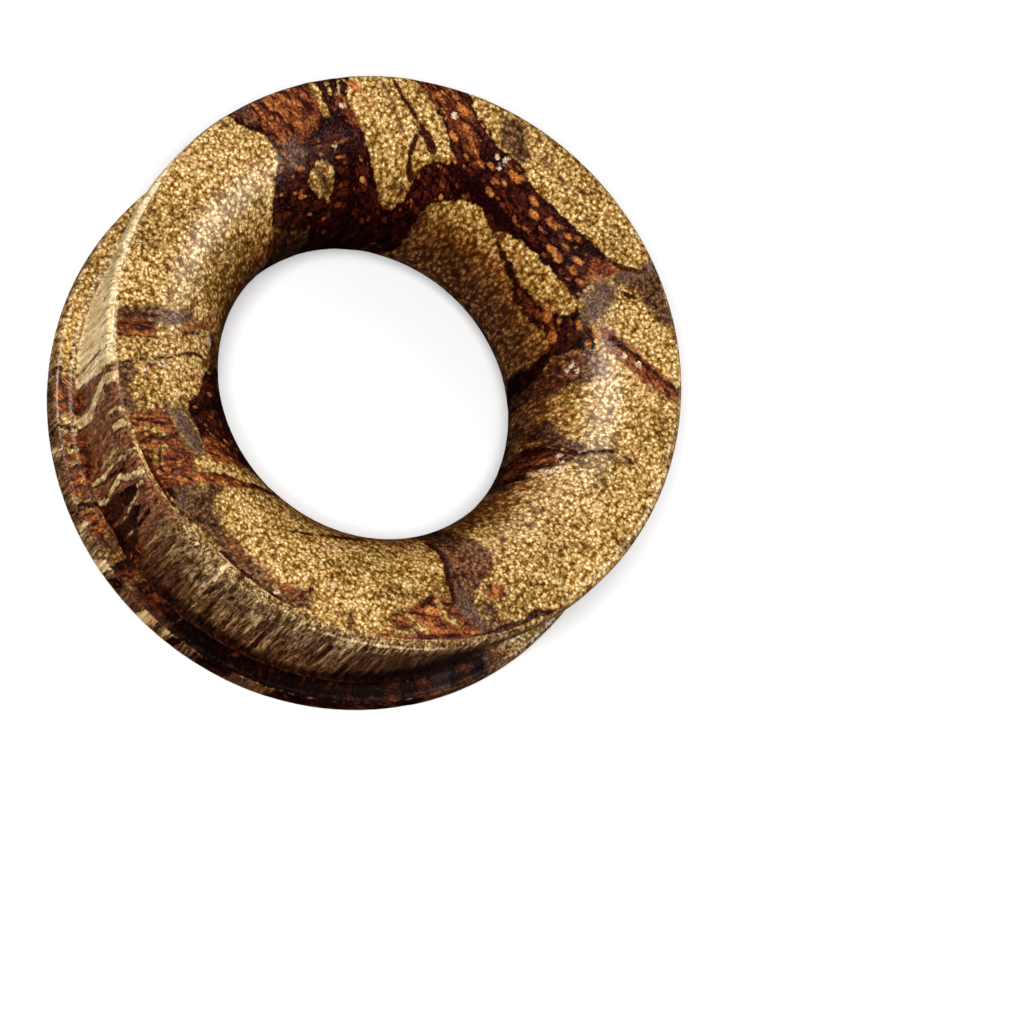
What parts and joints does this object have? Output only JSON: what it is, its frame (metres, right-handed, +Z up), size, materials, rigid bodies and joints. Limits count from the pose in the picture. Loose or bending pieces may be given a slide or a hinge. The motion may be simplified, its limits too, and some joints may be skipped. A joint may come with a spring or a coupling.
{
  "type": "wooden flesh tunnel",
  "caption": "Turned wooden ring for a stretched ear lobe: a shallow groove between low flanges, and a bore that flares in a smooth curve to each face.",
  "frame": {"origin": "middle of the lower face, where the ring lies flat on a surface", "axes": "+Z up along the bore's axis; the ring is round, so X and Y are free"},
  "size_m": [0.0276, 0.0276, 0.0108],
  "materials": {
    "wood": "satin polished, figured golden and dark red-brown hardwood with the grain along the bore"
  },
  "bodies": {
    "root": {"tunnel": "wood"}
  },
  "joints": []
}
